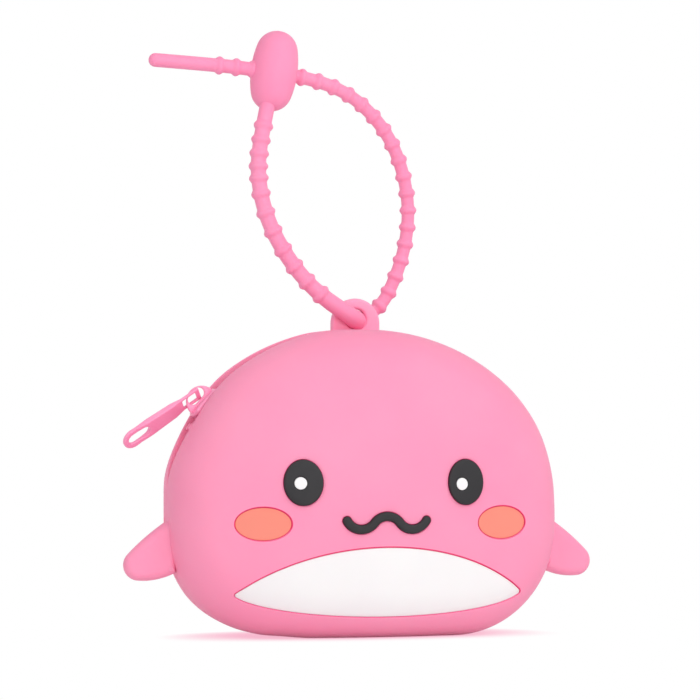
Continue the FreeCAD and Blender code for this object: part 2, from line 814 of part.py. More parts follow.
def strap_head():
    """An oval of tangent side and end arcs, turned about its length, with a bore and the cord's socket."""
    r = strap_head_diameter / 2
    end = strap_head_end_radius
    high = strap_head_length / 2
    end_z = high - end
    side = (end_z**2 + r**2 - end**2) / (2 * (r - end))
    touch = math.degrees(math.atan2(end_z, side - r))
    edges = [
        arc(0, -end_z, end, -90, -touch),
        arc(r - side, 0, side, -touch, touch),
        arc(0, end_z, end, touch, 90),
        line(V(0, 0, high), V(0, 0, -high)),
    ]
    barrel = Part.Face(Part.Wire(edges)).revolve(ORIGIN, UPWARD, 360)
    barrel.rotate(ORIGIN, ACROSS, strap_head_tilt)
    barrel.translate(head_centre)
    through = on_path(cord_path, bore_middle)[1]
    bore_radius = cord_diameter / 2 + strap_bore_clearance
    bore_start = on_path(cord_path, bore_middle)[0] - through * strap_head_diameter
    bore = Part.makeCylinder(bore_radius, 2 * strap_head_diameter, bore_start, through)
    outward = (route[1] - route[0]).normalize()
    socket_radius = cord_diameter / 2 + strap_socket_clearance
    socket = Part.makeCylinder(socket_radius, strap_head_length, route[0], outward)
    return barrel.cut(bore).cut(socket)


parts["strap_head"] = strap_head()
parts["strap_cord"] = cord()

# The cord against its plain section, and the bends that it takes
plain_volume = math.pi * cord_diameter**2 / 4 * cord_length
print("cord length", round(cord_length, 1), "plain volume", round(plain_volume), end=" ")
print("volume", round(parts["strap_cord"].Volume), "radii", [round(r, 1) for r in cord_radii])

os.makedirs("parts", exist_ok=True)
for name, shape in parts.items():
    shape.exportStep(os.path.join("parts", name + ".step"))
    print(name, shape.isValid(), len(shape.Solids), round(shape.Volume))
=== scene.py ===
import math
import bmesh
import bpy
import numpy as np
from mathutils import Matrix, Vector
from mathutils.geometry import delaunay_2d_cdt


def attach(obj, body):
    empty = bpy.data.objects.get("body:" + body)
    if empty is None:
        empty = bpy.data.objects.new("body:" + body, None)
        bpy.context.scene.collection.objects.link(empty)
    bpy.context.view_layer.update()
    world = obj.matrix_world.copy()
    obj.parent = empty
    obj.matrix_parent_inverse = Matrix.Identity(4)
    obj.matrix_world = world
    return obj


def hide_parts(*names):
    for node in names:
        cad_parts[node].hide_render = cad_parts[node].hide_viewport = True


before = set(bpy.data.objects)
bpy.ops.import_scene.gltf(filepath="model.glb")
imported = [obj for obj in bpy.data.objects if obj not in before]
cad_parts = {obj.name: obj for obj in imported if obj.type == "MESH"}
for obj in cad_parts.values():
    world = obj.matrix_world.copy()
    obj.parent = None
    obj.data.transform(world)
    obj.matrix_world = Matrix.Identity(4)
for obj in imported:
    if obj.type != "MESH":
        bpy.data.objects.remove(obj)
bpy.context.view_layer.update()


# Front shell: the front half of the purse, moulded in one piece of soft pink silicone.
# A crowned face rolls over into the sides, a rim follows the zip's opening, and the pieces
# of the face sit in recesses with a fine round lip, whose walls and floors are painted a deeper
# pink as painted shade. The two halves are bonded at the seam.
half_width = 0.053
half_depth = 0.025
top_radius = 0.0585
top_height = 0.023
top_half_angle = math.radians(52)
corner_radius = 0.0285
crown_radius = 0.120
crown_height = 0.036
edge_radius = 0.016
wall = 0.0020
opening_half_gap = 0.0042
opening_taper = 0.057
opening_end = 0.040
rim_round = 0.00045
seam_round = 0.00030
recess_depth = 0.0012
groove_depth = 0.0006
lip_round = 0.00018
groove = 0.00022
cheek_groove = 0.00020
close_fit = 0.00005
inner_round = 0.0003

shoulder_sine = math.sin(top_half_angle)
shoulder_radius = (half_width - top_radius * shoulder_sine) / (1 - shoulder_sine)
shoulder_x = half_width - shoulder_radius
shoulder_z = top_height + (top_radius - shoulder_radius) * math.cos(top_half_angle)
base_half = half_width - corner_radius
rise = math.pi / 2 - top_half_angle
marks = np.cumsum([
    0,
    base_half,
    corner_radius * math.pi / 2,
    shoulder_z - corner_radius,
    shoulder_radius * rise,
    top_radius * top_half_angle,
])
headings = [-math.pi / 2, -math.pi / 2, 0, 0, rise, math.pi / 2]


def outline_at(distance):
    """Points of the body's outline in the seam plane and their outward normals. The distance
    runs from the middle of the base up the right side and down the left: line, corner arc,
    line, shoulder arc and top arc, each a centre plus a radius times the heading's unit vector."""
    right = distance <= marks[-1]
    s = np.where(right, distance, 2 * marks[-1] - distance)
    heading = np.interp(s, marks, headings)
    lower = s < marks[3]
    top = s >= marks[4]
    centre_x = np.where(lower, np.minimum(s, base_half), np.where(top, 0, shoulder_x))
    upright = corner_radius + np.clip(s - marks[2], 0, None)
    centre_z = np.where(lower, upright, np.where(top, top_height, shoulder_z))
    radius = np.where(lower, corner_radius, np.where(top, top_radius, shoulder_radius))
    normal = np.stack([np.cos(heading), np.sin(heading)], 1)
    point = np.stack([centre_x, centre_z], 1) + radius[:, None] * normal
    flip = np.where(right, 1, -1)[:, None] * [1, 0] + [0, 1]
    return point * flip, normal * flip


settle_at = np.array([0, 72, 88, 112, 155, 170, 192, 214, 228, 257, 273, 282, 294]) / 1000
settle_by = np.array([0, 0, -7, 4, 0, 8, 10, -8, 0, 0, -7, -7, 0]) / 10000


def settled_at(distance):
    """Outline points moved along their normals by a settle that eases from mark to mark."""
    point, normal = outline_at(distance)
    k = np.clip(np.searchsorted(settle_at, distance) - 1, 0, len(settle_at) - 2)
    t = np.clip((distance - settle_at[k]) / (settle_at[k + 1] - settle_at[k]), 0, 1)
    shift = settle_by[k] + (settle_by[k + 1] - settle_by[k]) * t * t * (3 - 2 * t)
    return point + shift[:, None] * normal


def settled_outline(distance):
    """The outline as the soft shell stands, a little fuller beside the top and flatter at the shoulders
    and the lower left corner, with its outward normals: square to the short step over each point."""
    nudge = 1e-6
    step = settled_at(distance + nudge) - settled_at(distance - nudge)
    normal = np.stack([step[:, 1], -step[:, 0]], 1) / np.linalg.norm(step, axis=1)[:, None]
    return settled_at(distance), normal


def edge_ball(distance):
    """Where the ball that rolls along the rounded edge sits, as (x, depth, z): as deep as the sphere
    that is smaller by its radius. With it come its directions to the side wall and to the face."""
    point, normal = settled_outline(distance)
    flat = point - edge_radius * normal
    away = ((flat - [0, crown_height]) ** 2).sum(1)
    depth = half_depth - crown_radius + np.sqrt((crown_radius - edge_radius) ** 2 - away)
    ball = np.stack([flat[:, 0], depth, flat[:, 1]], 1)
    side = np.stack([normal[:, 0], np.zeros(len(normal)), normal[:, 1]], 1)
    to_face = (ball - crown_centre) / (crown_radius - edge_radius)
    return ball, side, to_face


girth = 2 * marks[-1]
crown_flat = np.array([0, crown_height])
crown_centre = np.array([0, half_depth - crown_radius, crown_height])
around_step, fine_step, fine_from, fine_to = 0.0008, 0.0003, 0.0110, 0.0135
opening_zone = np.arange(marks[2] + fine_from, marks[2] + fine_to, fine_step)
around = np.unique(np.concatenate([np.arange(0, girth, around_step), opening_zone, girth - opening_zone]))
around = around[around < girth - around_step / 4]
outline, outline_normals = settled_outline(around)
ball, side_way, face_way = edge_ball(around)
cosine = (side_way * face_way).sum(1)
full_turn = np.arccos(cosine)
lean = (face_way - cosine[:, None] * side_way) / np.sin(full_turn)[:, None]


def rolled_edge(inset, reach):
    """Rows of the rounded edge, moved in by inset: ball centre plus radius times the direction
    that turns from the side wall to the face. A negative reach runs down the straight wall."""
    turn = np.clip(reach, 0, None)[..., None] / edge_radius
    rows = ball + (edge_radius - inset) * (np.cos(turn) * side_way + np.sin(turn) * lean)
    rows[..., 1] += np.clip(reach, None, 0)
    return rows


def crown(inset, shares):
    """Rows of the crowned face from its rounded edge to the middle: the edge's flat outline
    shrunk by each share, at the depth of the sphere."""
    ring = (ball + (edge_radius - inset) * face_way)[:, [0, 2]]
    flat = crown_flat + shares[:, None, None] * (ring - crown_flat)
    away = ((flat - crown_flat) ** 2).sum(-1)
    depth = crown_centre[1] + np.sqrt((crown_radius - inset) ** 2 - away)
    return np.stack([flat[..., 0], depth, flat[..., 1]], -1)


gap_share = np.clip((outline[:, 1] - opening_end) / (opening_taper - opening_end), 0, 1)
rim_depth = opening_half_gap * gap_share
past_ball = rim_depth - ball[:, 1]
rim_turn = np.arcsin(np.clip(past_ball / (edge_radius * lean[:, 1]), 0, 1))
rim_reach = np.where(past_ball < 0, past_ball, edge_radius * rim_turn)
lip = seam_round + (rim_round - seam_round) * rim_depth / opening_half_gap


def spread(first, last, rows):
    """Evenly stepped rows from one array of reaches to another."""
    return first + np.linspace(0, 1, rows)[:, None] * (last - first)


quarter = np.linspace(0, math.pi / 2, 5)
inner_lip = np.full(len(around), inner_round)
end_reach = edge_radius * full_turn
inner_rows = np.concatenate([
    crown(wall, np.linspace(0, 1, 9)),
    rolled_edge(wall, spread(end_reach, rim_reach + inner_lip, 9))[1:],
])


def rim_rows():
    """Rows from the inner skin over the rim to the outer skin."""
    turn = np.clip(rim_reach, 0, None)[:, None] / edge_radius
    outward = np.cos(turn) * side_way + np.sin(turn) * lean
    bent = np.cos(turn) * lean - np.sin(turn) * side_way
    along = np.where(rim_reach[:, None] < 0, [0.0, 1.0, 0.0], bent)
    start = rolled_edge(0, rim_reach)
    a = quarter[:, None, None]
    inner = wall - inner_lip[:, None] * (1 - np.cos(a))
    inside = start + (1 - np.sin(a)) * inner_lip[:, None] * along - inner * outward
    outside = start + (1 - np.sin(a)) * lip[:, None] * along - (1 - np.cos(a)) * lip[:, None] * outward
    return np.concatenate([inside[1:], outside[::-1]])


def sheet(rows, wrap=True):
    """A grid of points as quads: each row joins the next, and the last column joins the first."""
    m, n = rows.shape[:2]
    i, j = np.meshgrid(np.arange(m - 1), np.arange(n if wrap else n - 1), indexing="ij")
    k = (j + 1) % n
    quads = np.stack([i * n + j, i * n + k, (i + 1) * n + k, (i + 1) * n + j], -1)
    return rows.reshape(-1, 3), quads.reshape(-1, 4).tolist()


def offset(loop, distance):
    """A loop moved to the right of its own direction: outwards from what it bounds."""
    ahead = np.roll(loop, -1, 0) - np.roll(loop, 1, 0)
    right = np.stack([ahead[:, 1], -ahead[:, 0]], 1)
    return loop + distance * right / np.linalg.norm(right, axis=1)[:, None]


def within(points, loops):
    """Which points lie inside the first loop and outside the others: a ray from the point
    crosses an odd number of edges."""
    own = np.concatenate(loops)
    ahead = np.concatenate([np.roll(loop, -1, 0) for loop in loops])
    step = np.where(ahead[:, 1] == own[:, 1], 1, ahead[:, 1] - own[:, 1])
    slope = (ahead[:, 0] - own[:, 0]) / step
    found = []
    for block in np.array_split(points, 1 + len(points) // 1000):
        dx, dz = block[:, None, 0] - own[:, 0], block[:, None, 1] - own[:, 1]
        crosses = (dz < 0) != (block[:, None, 1] < ahead[:, 1])
        found.append((crosses & (dx < dz * slope)).sum(1) % 2 == 1)
    return np.concatenate(found)


def fill(loops, spacing):
    """Triangles inside the first loop and outside the others, on their own points and on an even
    lattice between them."""
    own = np.concatenate(loops)
    low, high = own.min(0), own.max(0)
    row_height, clearance = 0.866 * spacing, 0.55 * spacing
    x, z = np.meshgrid(np.arange(low[0], high[0], spacing), np.arange(low[1], high[1], row_height))
    x[1::2] += spacing / 2
    lattice = np.stack([x.ravel(), z.ravel()], 1)
    lattice = lattice[within(lattice, loops)]
    for loop in loops:
        clear = [
            ((block[:, None] - loop) ** 2).sum(2).min(1) > clearance**2
            for block in np.array_split(lattice, 1 + len(lattice) // 1000)
        ]
        lattice = lattice[np.concatenate(clear)]
    points = np.concatenate([own, lattice])
    starts = np.cumsum([0] + [len(loop) for loop in loops])
    edges = [(a + k, a + (k + 1) % (b - a)) for a, b in zip(starts, starts[1:]) for k in range(b - a)]
    made = delaunay_2d_cdt([Vector(p) for p in points], edges, [], 1, 1e-9)
    points, faces = np.array(made[0]), np.array(made[2])
    return points, faces[within(points[faces].mean(1), loops)].tolist()


spine_step = 0.0001
spine = edge_ball(np.arange(0, girth, spine_step))[0]


def face_depth(flat, inset):
    """How far in front of the seam the skin lies over points of the seam plane, moved in by inset:
    the crown's sphere, or where its ball would leave the edge's path the furthest reach of the
    edge's balls."""
    away = flat - crown_flat
    sphere = crown_centre[1] + np.sqrt((crown_radius - inset) ** 2 - (away**2).sum(1))
    middle = crown_flat + away * ((crown_radius - edge_radius) / (crown_radius - inset))[:, None]
    past = np.concatenate([
        np.einsum("nuk,uk->nu", block[:, None] - outline, outline_normals).max(1)
        for block in np.array_split(middle, 1 + len(flat) // 500)
    ])
    depth = sphere.copy()
    outer = np.flatnonzero(past > -edge_radius)
    for part in np.array_split(outer, 1 + len(outer) // 200):
        dx = flat[part, None, 0] - spine[:, 0]
        dz = flat[part, None, 1] - spine[:, 2]
        reach = (edge_radius - inset[part, None]) ** 2 - dx**2 - dz**2
        front = np.where(reach > 0, spine[:, 1] + np.sqrt(np.clip(reach, 0, None)), -1)
        depth[part] = front.max(1)
    return depth


def on_face(flat, height):
    """Points on the front, raised by a height from its skin."""
    return np.stack([flat[:, 0], -face_depth(flat, -height), flat[:, 1]], 1)


def facing_front(rows):
    return rows * [1, -1, 1]


def oval(x, z, half_wide, half_high, count):
    """An ellipse, counter-clockwise seen from the front."""
    a = np.linspace(0, 2 * math.pi, count, endpoint=False)
    return np.stack([x + half_wide * np.cos(a), z + half_high * np.sin(a)], 1)


def sweep(x, z, radius, start, end, count):
    """Points of an arc about (x, z) between two angles in degrees."""
    a = np.radians(np.linspace(start, end, count))
    return np.stack([x + radius * np.cos(a), z + radius * np.sin(a)], 1)


def even(points, step):
    """A closed line through the points, taken again at even steps."""
    ring = np.concatenate([points, points[:1]])
    run = np.concatenate([[0], np.cumsum(np.linalg.norm(np.diff(ring, axis=0), axis=1))])
    at = np.linspace(0, run[-1], int(run[-1] / step), endpoint=False)
    return np.stack([np.interp(at, run, ring[:, k]) for k in range(ring.shape[1])], 1)


def ringed(there, back, distance):
    """A closed line round two open ones that run there and back: both moved to the right by a
    distance, and joined at their ends by arcs."""
    moved, facing = [], []
    for line in (there, back):
        ahead = np.gradient(line, axis=0)
        right = np.stack([ahead[:, 1], -ahead[:, 0]], 1) / np.linalg.norm(ahead, axis=1)[:, None]
        moved.append(line + distance * right)
        facing.append(np.degrees(np.arctan2(right[[0, -1], 1], right[[0, -1], 0])))
    ends = []
    for line, start, end in ((there, facing[0][1], facing[1][0]), (back, facing[1][1], facing[0][0])):
        ends.append(sweep(*line[-1], distance, start, start + (end - start) % 360, 15)[1:-1])
    return np.concatenate([moved[0], ends[0], moved[1], ends[1]])


eye_x, eye_z, eye_wide, eye_high = 0.022, 0.0412, 0.0050, 0.00595
lower_face_x, cheek_x, cheek_z, cheek_wide, cheek_high = 0.0007, 0.0322, 0.0305, 0.0070, 0.0042
left_cheek_shift = -0.0005
belly_half, belly_corner, belly_top, belly_bottom, belly_round = 0.0393, 0.0120, 0.0242, 0.0061, 0.0005
belly_top_spread, belly_bottom_spread = belly_half + 0.0126, belly_half + 0.0014
mouth_z, valley_x, valley_drop, mouth_half_stroke, mouth_tip = 0.0324, 0.0069, 0.0034, 0.00115, 28


def belly_loop(grow):
    """What lies under a wide oval and over a flat one: both drawn smaller by the corner's round,
    then moved outwards by the round and by grow."""
    x = np.linspace(-belly_half, belly_half, 1201)
    edges = []
    for spread, height, way in ((belly_top_spread, belly_top, 1), (belly_bottom_spread, belly_bottom, -1)):
        half_high = abs(height - belly_corner) / (1 - math.sqrt(1 - (belly_half / spread) ** 2))
        middle = height - way * half_high
        narrow = spread - belly_round
        edges.append(middle + way * (half_high - belly_round) * np.sqrt(1 - (x / narrow) ** 2))
    lens = edges[0] > edges[1]
    upper, lower = (np.stack([lower_face_x + x[lens], edge[lens]], 1)[::5] for edge in edges)
    return ringed(upper[::-1], lower, belly_round + grow)


def mouth_loop(grow):
    """A hump between two valleys, in tangent arcs of one radius, as a stroke with round ends."""
    radius = (valley_x**2 + valley_drop**2) / (4 * valley_drop)
    swing = math.degrees(math.asin(valley_x / 2 / radius))
    valley_z = mouth_z - valley_drop + radius
    line = np.concatenate([
        sweep(-valley_x, valley_z, radius, mouth_tip - 180, -90 + swing, 40)[:-1],
        sweep(0, mouth_z - radius, radius, 90 + swing, 90 - swing, 40)[:-1],
        sweep(valley_x, valley_z, radius, -90 - swing, -mouth_tip, 40),
    ])
    return ringed(line, line[::-1], mouth_half_stroke + grow)


def cheek_loop(side, grow):
    """An oval, which on the left sits a little further out."""
    x = lower_face_x + side * cheek_x + (left_cheek_shift if side < 0 else 0)
    return oval(x, cheek_z, cheek_wide + grow, cheek_high + grow, 120)


def recess_loops():
    """The openings in the front: close round the raised pieces, with a groove round the cheeks and
    along the top of the belly, which rests on the lower edge of its recess."""
    belly = belly_loop((groove + close_fit) / 2) + [0, (groove - close_fit) / 2]
    raised_loops, sunk_loops = [mouth_loop(close_fit)], [belly]
    for side in (-1, 1):
        raised_loops.append(oval(side * eye_x, eye_z, eye_wide + close_fit, eye_high + close_fit, 120))
        sunk_loops.append(cheek_loop(side, cheek_groove))
    return raised_loops, sunk_loops


def linear(red, green, blue):
    """An sRGB colour of 0 to 255 as linear light."""
    c = np.array([red, green, blue]) / 255
    return (*np.where(c <= 0.04045, c / 12.92, ((c + 0.055) / 1.055) ** 2.4).tolist(), 1.0)


def new_material(name):
    material = bpy.data.materials.new(name)
    material.use_nodes = True
    nodes, links = material.node_tree.nodes, material.node_tree.links
    return material, nodes, links, nodes["Principled BSDF"]


def noise(nodes, links, vector, scale, detail):
    node = nodes.new("ShaderNodeTexNoise")
    node.inputs["Scale"].default_value = scale
    node.inputs["Detail"].default_value = detail
    links.new(vector, node.inputs["Vector"])
    return node.outputs["Fac"]


def between(nodes, links, factor, low, high, start=0.3, end=0.7):
    """A factor's stretch from start to end, spread over another range. A noise keeps mostly to 0.3 to 0.7."""
    node = nodes.new("ShaderNodeMapRange")
    node.inputs["From Min"].default_value = start
    node.inputs["From Max"].default_value = end
    node.inputs["To Min"].default_value = low
    node.inputs["To Max"].default_value = high
    links.new(factor, node.inputs["Value"])
    return node.outputs["Result"]


def tones(nodes, links, factor, dark, light):
    """A colour that drifts between two tones."""
    node = nodes.new("ShaderNodeMix")
    node.data_type = "RGBA"
    node.inputs[6].default_value = dark
    node.inputs[7].default_value = light
    links.new(factor, node.inputs[0])
    return node.outputs[2]


def bumped(nodes, links, shader, height, strength, distance):
    """Raises a shader's surface by a pattern of heights."""
    bump = nodes.new("ShaderNodeBump")
    bump.inputs["Strength"].default_value = strength
    bump.inputs["Distance"].default_value = distance
    links.new(height, bump.inputs["Height"])
    links.new(bump.outputs["Normal"], shader.inputs["Normal"])


def silicone(name, dark, light, rough=0.52, bleed=0.12):
    """Matte moulded silicone: a slow drift of tone, a fine moulded grain in the bump, an uneven
    bloom in the roughness, and a little light carried under the surface."""
    material, nodes, links, shader = new_material(name)
    place = nodes.new("ShaderNodeTexCoord").outputs["Object"]
    drift = between(nodes, links, noise(nodes, links, place, 38, 2), 0, 1)
    links.new(tones(nodes, links, drift, dark, light), shader.inputs["Base Color"])
    bloom = between(nodes, links, noise(nodes, links, place, 420, 3), rough - 0.05, rough + 0.06)
    links.new(bloom, shader.inputs["Roughness"])
    bumped(nodes, links, shader, noise(nodes, links, place, 2600, 3), 0.10, 0.0002)
    shader.inputs["IOR"].default_value = 1.42
    shader.inputs["Specular IOR Level"].default_value = 0.25
    shader.inputs["Subsurface Weight"].default_value = bleed
    shader.inputs["Subsurface Radius"].default_value = (1.0, 0.2, 0.35)
    shader.inputs["Subsurface Scale"].default_value = 0.0015
    return material


merge_within, sharp_from = 1e-6, math.radians(50)


def piece(name, parts, material, body, slot, *nodes, shade=None):
    """One mesh of several point and face lists: joined, its doubles merged, its faces turned
    outwards and smoothed, then hung on its body in place of its solids."""
    starts = np.cumsum([0] + [len(points) for points, faces in parts])
    points = np.concatenate([points for points, faces in parts])
    faces = [[v + start for v in face] for start, (p, fs) in zip(starts, parts) for face in fs]
    mesh = bpy.data.meshes.new(name)
    mesh.from_pydata(points.tolist(), [], faces)
    if shade:
        shaded = np.concatenate([np.full(len(fs), k in shade, np.int32) for k, (p, fs) in enumerate(parts)])
        mesh.polygons.foreach_set("material_index", shaded)
    work = bmesh.new()
    work.from_mesh(mesh)
    bmesh.ops.remove_doubles(work, verts=work.verts, dist=merge_within)
    bmesh.ops.recalc_face_normals(work, faces=work.faces)
    work.to_mesh(mesh)
    work.free()
    mesh.shade_smooth()
    mesh.set_sharp_from_angle(angle=sharp_from)
    made = bpy.data.objects.new(name, mesh)
    bpy.context.scene.collection.objects.link(made)
    mesh.materials.append(material)
    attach(made, body)
    if nodes:
        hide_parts(*nodes)
    return made


def paint_light_upward(material, light):
    """Painted light: a material's colour turns lighter where its faces look up, as on a groove's lit lower
    wall.
    """
    nodes, links = material.node_tree.nodes, material.node_tree.links
    colour = nodes["Principled BSDF"].inputs["Base Color"]
    deep = colour.links[0].from_socket
    facing = nodes.new("ShaderNodeSeparateXYZ")
    links.new(nodes.new("ShaderNodeNewGeometry").outputs["True Normal"], facing.inputs[0])
    lit = tones(nodes, links, between(nodes, links, facing.outputs["Z"], 0, 1), light, light)
    links.new(deep, lit.node.inputs[6])
    links.new(lit, colour)


pink = silicone("pink_silicone", linear(255, 151, 186), linear(255, 157, 190))
# Painted shade: the recesses' walls and floors take a deeper pink than the skin, standing for the shade in
# the grooves.
painted_shade_groove_pink = silicone("painted_shade_groove_pink", linear(250, 80, 132), linear(255, 88, 140))
# Painted light: the grooves' upward-facing walls are painted a lighter pink.
paint_light_upward(painted_shade_groove_pink, linear(255, 145, 182))
half_way = spread(rim_reach + lip, 0.5 * end_reach, 15)
front_rows = np.concatenate([inner_rows, rim_rows(), rolled_edge(0, half_way)[1:]])
raised_loops, sunk_loops = recess_loops()
recesses = [(r, recess_depth) for r in raised_loops] + [(r, groove_depth) for r in sunk_loops]
lip_turn = np.linspace(0, math.pi / 2, 4)
lip_profile = [(lip_round * (1 - math.sin(a)), -lip_round * (1 - math.cos(a))) for a in lip_turn]
skin_spacing, floor_spacing, wall_draft = 0.0011, 0.0012, 0.00002
skin_loops = [front_rows[-1][:, [0, 2]]] + [offset(r, lip_round)[::-1] for r, depth in recesses]
skin, skin_faces = fill(skin_loops, skin_spacing)
front_parts = [sheet(facing_front(front_rows)), (on_face(skin, np.zeros(len(skin))), skin_faces)]
for recess, depth in recesses:
    wall_profile = lip_profile + [(-wall_draft, -depth)]
    rows = [on_face(offset(recess, grow), np.full(len(recess), high)) for grow, high in wall_profile]
    floor, floor_faces = fill([offset(recess, -wall_draft)], floor_spacing)
    front_parts.append(sheet(np.stack(rows)))
    front_parts.append((on_face(floor, np.full(len(floor), -depth)), floor_faces))
front = piece(
    "front_shell_moulding",
    front_parts,
    pink,
    "purse",
    "pink_silicone",
    "front_shell",
    shade=range(2, len(front_parts)),
)
front.data.materials.append(painted_shade_groove_pink)


# Back shell: the back half, moulded like the front but with no recesses, and the flat eyelet
# that is moulded with it on top. The strap runs through the eyelet's hole. The eyelet's pink is
# a lighter copy of the shells' pink, as painted light.
eyelet_x, eyelet_front, eyelet_thickness, eyelet_half_width = 0.0012, 0.0086, 0.0028, 0.0067
eyelet_hole_z, eyelet_hole_radius, eyelet_rim, eyelet_root = 0.0848, 0.0027, 0.0028, 0.0792
eyelet_edge, eyelet_foot_z, eyelet_foot_high, eyelet_foot_gain = 0.0009, 0.0828, 0.0030, 0.5

outer_rows = np.concatenate([
    rolled_edge(0, spread(rim_reach + lip, end_reach, 22))[1:],
    crown(0, np.linspace(1, 0, 26))[1:],
])
back_rows = np.concatenate([inner_rows, rim_rows(), outer_rows])
piece("back_shell_moulding", [sheet(back_rows)], pink, "purse", "pink_silicone", "back_shell")


def half_round(radius, low, high, steps):
    """Edge rows of a plate from its face to its back: a quarter round, a flat edge, a quarter round."""
    a = np.linspace(0, math.pi / 2, steps)
    near = [(-radius * (1 - s), high - radius * (1 - c)) for s, c in zip(np.sin(a), np.cos(a))]
    return near + [(grow, low + high - z) for grow, z in reversed(near)]


def slab(loops, profile, place, spacing):
    """A plate inside the first loop and outside the others: a face and a back filled with
    triangles, and for each loop an edge whose rows are moved out and raised as the profile says."""
    parts = []
    for grow, high in (profile[0], profile[-1]):
        flat, faces = fill([offset(loop, grow) for loop in loops], spacing)
        parts.append((place(flat, np.full(len(flat), high)), faces))
    for loop in loops:
        rows = [place(offset(loop, grow), np.full(len(loop), high)) for grow, high in profile]
        parts.append(sheet(np.stack(rows)))
    return parts


def in_eyelet(flat, height):
    """The eyelet's plate, upright behind the seam and thicker towards its root."""
    foot = np.clip((eyelet_foot_z - flat[:, 1]) / eyelet_foot_high, 0, 1)
    middle = eyelet_front + eyelet_thickness / 2
    return np.stack([flat[:, 0], middle - height * (1 + eyelet_foot_gain * foot**2), flat[:, 1]], 1)


round_z = eyelet_hole_z + eyelet_hole_radius + eyelet_rim - eyelet_half_width
lug = np.concatenate([
    [[eyelet_x - eyelet_half_width, eyelet_root], [eyelet_x + eyelet_half_width, eyelet_root]],
    sweep(eyelet_x, round_z, eyelet_half_width, 0, 180, 60),
])
hole = oval(eyelet_x, eyelet_hole_z, eyelet_hole_radius, eyelet_hole_radius, 72)[::-1]
half_thick = eyelet_thickness / 2
eyelet_profile = half_round(eyelet_edge, -half_thick, half_thick, 6)
# Painted light: the eyelet is the shells' silicone in a lighter pink.
painted_light_pink = silicone("painted_light_pink_silicone", linear(255, 164, 198), linear(255, 170, 202))
eyelet_parts = slab([even(lug, 0.0004), hole], eyelet_profile, in_eyelet, 0.0008)
piece("eyelet", eyelet_parts, painted_light_pink, "purse", "pink_silicone")


# Flippers: two soft fins of the same silicone, held by their roots in the side seam.
# The top edge is bowed, the tip is round and the edges are soft all round.
flipper_reach, flipper_tip, flipper_tip_z = 0.0116, 0.0041, 0.0195
flipper_top, flipper_top_bow, flipper_bottom, flipper_bottom_bow = 0.0324, 0.0004, 0.0174, 0.0008
flipper_thickness, flipper_edge, flipper_sunk = 0.005, 0.0023, 0.0022
flipper_flare, flipper_flare_gain, shoulder_angle, heel_angle = 0.0055, 0.7, 40, -80


def bowed(first, through, last, count):
    """Points of the circle's arc through three points."""
    a, b, c = (complex(*p) for p in (first, through, last))
    w = (c - a) / (b - a)
    centre = a + (b - a) * (w - abs(w) ** 2) / (2j * w.imag)
    turn = np.unwrap(np.angle([a - centre, b - centre, c - centre]))
    t = np.linspace(turn[0], turn[2], count)
    radius = abs(a - centre)
    return np.stack([centre.real + radius * np.cos(t), centre.imag + radius * np.sin(t)], 1)


tip_x = half_width + flipper_reach - flipper_tip
root_x = half_width - flipper_sunk
fin_shoulder = sweep(tip_x, flipper_tip_z, flipper_tip, shoulder_angle, shoulder_angle, 1)[0]
fin_heel = sweep(tip_x, flipper_tip_z, flipper_tip, heel_angle, heel_angle, 1)[0]
fin_top = np.array([root_x, flipper_top])
fin_bottom = np.array([root_x, flipper_bottom])
top_middle = (fin_top + fin_shoulder) / 2 + flipper_top_bow
bottom_middle = (fin_bottom + fin_heel) / 2 - [0, flipper_bottom_bow]
fin = np.concatenate([
    sweep(tip_x, flipper_tip_z, flipper_tip, heel_angle, shoulder_angle, 30),
    bowed(fin_shoulder, top_middle, fin_top, 30)[1:],
    bowed(fin_bottom, bottom_middle, fin_heel, 30)[:-1],
])


def in_seam(flat, height):
    """A fin's plate in the seam plane, thicker towards its root."""
    root = np.clip((root_x + flipper_flare - flat[:, 0]) / flipper_flare, 0, 1)
    return np.stack([flat[:, 0], -height * (1 + flipper_flare_gain * root**2), flat[:, 1]], 1)


flipper_profile = half_round(flipper_edge, -flipper_thickness / 2, flipper_thickness / 2, 9)
fin_parts = slab([even(fin, 0.0004)], flipper_profile, in_seam, 0.0009)
for name, side in (("left", -1), ("right", 1)):
    turned_parts = [(points * [side, 1, 1], faces) for points, faces in fin_parts]
    piece(name + "_flipper_fin", turned_parts, pink, "purse", "pink_silicone", name + "_flipper")


# Face: dark raised eyes with white dots, a dark raised mouth, and salmon cheeks and a white
# belly that lie a little below the skin. All are silicone, pressed into their recesses.
raised, sunk, seat, sunk_seat = 0.0009, 0.00030, 0.00115, 0.00055
dot_radius, dot_depth = 0.0016, 0.0008
eye_round, mouth_round, sharp_round = 0.0004, 0.0006, 0.00012

dark = silicone("dark_silicone", linear(50, 49, 51), linear(56, 55, 57), 0.55, 0.0)
white = silicone("white_silicone", linear(243, 240, 241), linear(246, 244, 244), 0.5, 0.05)
salmon = silicone("salmon_silicone", linear(249, 143, 125), linear(251, 149, 132), 0.5, 0.08)


def inlay_edge(top, radius, bottom):
    """Edge rows of an inlay: a quarter round at the top and a straight side down to its seat."""
    a = np.linspace(0, math.pi / 2, 5)
    rows = [(-radius * (1 - s), top - radius * (1 - c)) for s, c in zip(np.sin(a), np.cos(a))]
    return rows + [(0, bottom)]


